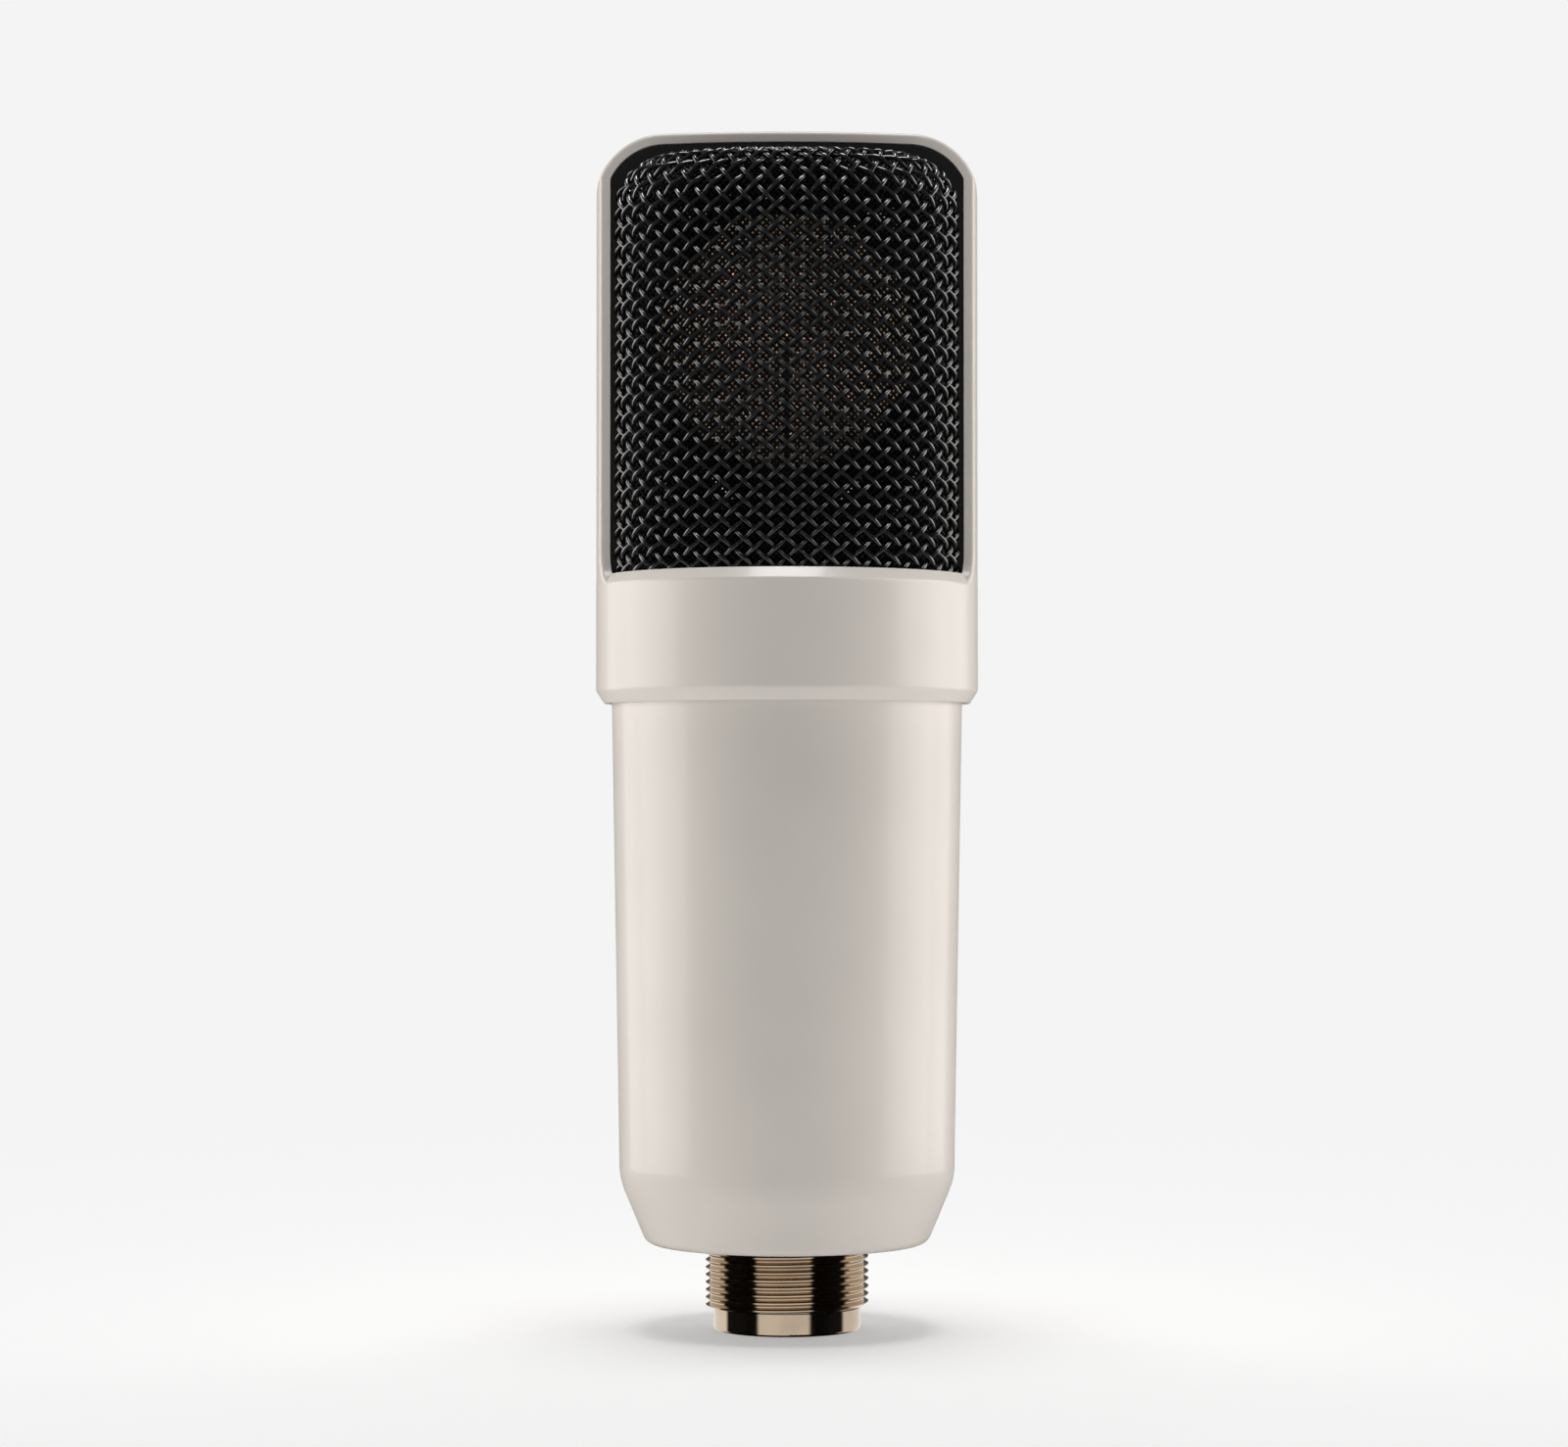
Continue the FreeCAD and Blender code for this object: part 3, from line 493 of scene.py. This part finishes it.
# %% [markdown]
# ## A pale floor
# The microphone stands on a pale seamless sweep. A lit white floor is never even, so this paper gives part
# of its own light: near the microphone it gives little and the lamps do the rest, which keeps the contact
# shadow, and further off it gives all of it and answers to no lamp. A large sphere of the same tone is seen
# only by the camera, and fills the view past the floor's edge.


# %% Floor and backdrop
def sweep():
    """A floor that curves up into a wall behind: flat, then a quarter circle, then upright."""
    width, front, back, bend, height = 6.0, -3.0, 2.2, 0.8, 3.5
    turn = np.linspace(0, math.pi / 2, 24)
    y = np.concatenate([[front], back - bend + bend * np.sin(turn), [back]])
    z = np.concatenate([[0.0], bend - bend * np.cos(turn), [height]])
    x = np.array([-width / 2, width / 2])
    grid = np.stack(np.broadcast_arrays(x[None, :], y[:, None], z[:, None]), axis=-1).reshape(-1, 3)
    row = np.arange(len(y) - 1) * 2
    quads = np.stack([row, row + 1, row + 3, row + 2], axis=-1)
    mesh = bpy.data.meshes.new("sweep")
    mesh.from_pydata(grid.tolist(), [], quads.tolist())
    mesh.polygons.foreach_set("use_smooth", np.ones(len(quads), bool))
    return bpy.data.objects.new("sweep", mesh)


# %% Paper, floor and room
PALE = 0.905                     # how bright the paper looks, everywhere that nothing shades it
LAMP_SHARE = 0.42                # the part of that which the lamp overhead gives at the microphone's foot
ROOM_SHARE = 0.15                # the part that the walls and the room give there
PAPER_WHITE = 0.8                # how much of a lamp's light the paper sends back there
LIT_REACH, OWN_LIGHT_REACH = 0.12, 0.5    # from where the lamps' share fades, and from where it is gone
ROOM_RADIUS = 5.5
SELF_LIT = dict(Roughness=1.0, Emission_Strength=1.0, Specular_IOR_Level=0.0)
paper = Finish("paper", **SELF_LIT)
away = paper.node("ShaderNodeVectorMath", {"operation": "LENGTH"}, {0: paper.place}, output="Value")
far = away.between(LIT_REACH, OWN_LIGHT_REACH)
paper.set("Emission Color", paper.mix(far, grey(PALE - LAMP_SHARE - ROOM_SHARE), grey(PALE)))
paper.set("Base Color", paper.mix(far, grey(PAPER_WHITE), grey(0.0)))
floor = sweep()
floor.data.materials.append(paper.material)
bpy.context.scene.collection.objects.link(floor)
floor.visible_glossy = False
room_paper = Finish("room_paper", Base_Color=grey(0.0), Emission_Color=grey(PALE), **SELF_LIT)
bpy.ops.mesh.primitive_uv_sphere_add(segments=48, ring_count=24, radius=ROOM_RADIUS)
room = bpy.context.object
room.name = "room"
room.data.materials.append(room_paper.material)
room.visible_diffuse = room.visible_glossy = room.visible_transmission = room.visible_shadow = False
print("of its", PALE, "the paper itself gives", round(PALE - LAMP_SHARE - ROOM_SHARE, 3), "at the foot")

# %% [markdown]
# ## What the plated socket mirrors
# A polished cylinder shows the whole room squeezed into its width, so a studio stands pale and black cards
# round it. Here they are one bowl of card round the socket that gives its own light: pale in front and
# behind, black at both sides and at the bottom, with a dim lid at the height of the thread's top. Only mirror
# reflections see it, so it lights and shades nothing.


# %% Card bowl
def card_bowl(radius, lid_z, hole, sides=48):
    """
    A half sphere under the height lid_z, closed by a flat lid with a round hole in its middle. At the
    angle a below the lid, it is radius * cos(a) wide from its middle and radius * sin(a) below lid_z.
    """
    fall = np.linspace(math.pi / 2, 0, 12)
    r = np.concatenate([radius * np.cos(fall), [hole]])
    z = np.concatenate([lid_z - radius * np.sin(fall), [lid_z]])
    turn = np.linspace(0, 2 * math.pi, sides + 1)[:-1]
    level = np.repeat(z[:, None], sides, axis=1)
    grid = np.stack([r[:, None] * np.cos(turn), r[:, None] * np.sin(turn), level], axis=-1)
    mesh = bpy.data.meshes.new("card_bowl")
    mesh.from_pydata(grid.reshape(-1, 3).tolist(), [], tube_faces(len(r), sides, 0).tolist())
    return bpy.data.objects.new("card_bowl", mesh)


# %% The pattern on the cards
CARD_TURN = math.radians(5)          # the cards don't stand quite square to the camera
FRONT_CARD_ENDS = (0.64, 0.72)       # radians from straight ahead, where pale turns to black
REAR_CARD_STARTS = (1.68, 1.78)      # and where black turns to pale again
FRONT_CARD_LEVEL = 0.85              # the front card's brightness beside the rear one's
BOTTOM_FADE = (-50 * MM, -35 * MM)   # black below the first, pale above the second
LID_Z, LID_HOLE, BOWL_RADIUS = 11.45 * MM, 12.0 * MM, 0.1
LID_FADE = (11.0 * MM, 11.4 * MM)
LID_DIMMING = 0.9
cards = Finish("cards", Base_Color=grey(0.0), **SELF_LIT)
turned_place = cards.node("ShaderNodeMapping", None, {"Vector": cards.place, "Rotation": (0, 0, CARD_TURN)})
across = cards.node("ShaderNodeSeparateXYZ", None, {"Vector": turned_place}, output="X").math("ABSOLUTE")
ahead = 0 - cards.node("ShaderNodeSeparateXYZ", None, {"Vector": turned_place}, output="Y")
height = cards.node("ShaderNodeSeparateXYZ", None, {"Vector": turned_place}, output="Z")
angle = across.math("ARCTAN2", ahead)
pale = (1 - angle.between(*FRONT_CARD_ENDS)) * FRONT_CARD_LEVEL + angle.between(*REAR_CARD_STARTS)
pale = pale * height.between(*BOTTOM_FADE) * (1 - LID_DIMMING * height.between(*LID_FADE))
# The pale parts glow with their own light and the black parts give almost none; no lamp lights the bowl.
cards.set("Emission Color", cards.mix(pale, grey(0.004), rgb(1.0, 0.98, 0.96)))
bowl = card_bowl(BOWL_RADIUS, LID_Z, LID_HOLE)
bowl.data.materials.append(cards.material)
bpy.context.scene.collection.objects.link(bowl)
bowl.visible_camera = bowl.visible_diffuse = bowl.visible_transmission = bowl.visible_shadow = False
print("bowl of card", round(BOWL_RADIUS / MM), "mm in radius, lid at", round(LID_Z / MM, 2), "mm")

# %% [markdown]
# ## Soft lamps
# Tall soft boxes at both sides draw the two bright bands down a round body and leave its middle darker. Two
# narrower ones further back brighten its very edges. A square lamp straight above lights the floor and
# makes the contact shadow, and a small card at the foot fills the dark under the body. The capsule sits
# behind two cloths that hide it from every lamp, so one more small lamp lights only its outer pieces and
# passes the wire.

# %% Lights
def soft_box(name, place, aim, width, height, watts, colour=(1, 1, 1)):
    """A rectangular area light at place that faces aim."""
    light = bpy.data.lights.new(name, "AREA")
    light.shape = "RECTANGLE"
    light.size, light.size_y, light.energy, light.color = width, height, watts, colour
    holder = bpy.data.objects.new(name, light)
    holder.location = place
    toward = np.array(aim) - np.array(place)
    holder.rotation_euler = (math.atan2(math.hypot(toward[0], toward[1]), -toward[2]), 0,
                             math.atan2(-toward[0], toward[1]))
    holder.visible_camera = False
    bpy.context.scene.collection.objects.link(holder)
    return holder


def limit_light(linking, kind, pieces, state):
    """Lets a lamp light, or be blocked by, only these pieces (INCLUDE) or all but these (EXCLUDE)."""
    limit = bpy.data.collections.new(linking.id_data.name + "_" + kind)
    for piece in pieces:
        limit.objects.link(piece)
    for member in limit.collection_objects:
        member.light_linking.link_state = state
    setattr(linking, kind, limit)


# %% Light the body and its foot, but not the floor
BODY_MIDDLE = (0, 0, 0.09)
WARM = (1.0, 0.965, 0.93)
BOX_OUT, BOX_UP, BOX_WIDTH, BOX_WATTS = 0.62, 0.20, 0.5, 2.45
REAR_OUT, REAR_BACK, REAR_WIDTH, REAR_WATTS = 0.52, 0.35, 0.26, 0.75
BOX_TALL = 0.6
body_lamps = []
for side, sign in (("left", -1), ("right", 1)):
    body_lamps.append(soft_box(side + "_box", (sign * BOX_OUT, 0.0, BOX_UP), BODY_MIDDLE,
                               BOX_WIDTH, BOX_TALL, BOX_WATTS, WARM))
    body_lamps.append(soft_box(side + "_rear_box", (sign * REAR_OUT, REAR_BACK, BOX_UP), BODY_MIDDLE,
                               REAR_WIDTH, BOX_TALL, REAR_WATTS, WARM))
CARD_PLACE, CARD_AIM = (0, -0.065, 0.001), (0, -0.02, 0.016)
CARD_WIDTH, CARD_TALL, CARD_WATTS = 0.10, 0.03, 0.0035
foot_card = soft_box("foot_card", CARD_PLACE, CARD_AIM, CARD_WIDTH, CARD_TALL, CARD_WATTS, WARM)
foot_card.visible_glossy = False
for lamp in body_lamps + [foot_card]:
    limit_light(lamp.light_linking, "receiver_collection", [floor], "EXCLUDE")
print("lamps that miss the floor:", len(body_lamps) + 1)

# %% Light the floor from above
# A small lamp of P watts at height h gives paper of whiteness w a brightness of w * P / (pi * h) ** 2.
LAMP_HEIGHT, LAMP_SIZE = 2.0, 0.8
STRAIGHT_DOWN = (0, 0.0001, 0)       # a hair off the axis, so that the lamp's own turn is settled
lamp_watts = LAMP_SHARE / PAPER_WHITE * math.pi * math.pi * LAMP_HEIGHT ** 2
soft_box("overhead", (0, 0, LAMP_HEIGHT), STRAIGHT_DOWN, LAMP_SIZE, LAMP_SIZE, lamp_watts)
print("overhead lamp", round(lamp_watts, 1), "W")

# %% Light the capsule through the wire
CAPSULE_FACE = ("diaphragm", "clamp_ring", "ring_screws", "terminal", "backplate")
CAPSULE_MIDDLE = (0, 0, 0.133)
CAPSULE_LAMP_PLACE, CAPSULE_LAMP_SIZE, CAPSULE_LAMP_WATTS = (0.03, -0.80, 0.26), 0.05, 0.3
capsule_lamp = soft_box("capsule_lamp", CAPSULE_LAMP_PLACE, CAPSULE_MIDDLE,
                        CAPSULE_LAMP_SIZE, CAPSULE_LAMP_SIZE, CAPSULE_LAMP_WATTS, WARM)
capsule_pieces = [frame["nodes"][f"{half}_{name}"] for half in ("front", "rear") for name in CAPSULE_FACE]
limit_light(capsule_lamp.light_linking, "receiver_collection", capsule_pieces, "INCLUDE")
limit_light(capsule_lamp.light_linking, "blocker_collection", capsule_pieces, "INCLUDE")
print("capsule lamp lights", len(capsule_pieces), "pieces")

# %% A dim room all round
ROOM_LIGHT = 0.065
world = bpy.data.worlds.new("room")
world.use_nodes = True
world.node_tree.nodes["Background"].inputs["Color"].default_value = grey(1.0)
world.node_tree.nodes["Background"].inputs["Strength"].default_value = ROOM_LIGHT
bpy.context.scene.world = world
bpy.context.scene.view_settings.view_transform = "Standard"

# %% [markdown]
# ## The camera
# A long lens keeps the sides of the body straight and upright. The camera stands a little below the
# microphone's middle, a little over half a metre away, and is tilted up by a degree.

# %% Camera
LENS, SENSOR = 96.75, 36.0           # millimetres, as a lens is named
CAMERA_PLACE = (-0.0004, -0.570, 0.0715)
CAMERA_TILT = math.radians(1.02)
camera = bpy.data.objects.new("camera", bpy.data.cameras.new("camera"))
camera.data.lens = LENS
camera.data.sensor_width = SENSOR
camera.location = CAMERA_PLACE
camera.rotation_euler = (math.pi / 2 + CAMERA_TILT, 0, 0)
bpy.context.scene.collection.objects.link(camera)
bpy.context.scene.camera = camera
print("camera", round(-CAMERA_PLACE[1], 3), "m away with a", LENS, "mm lens")
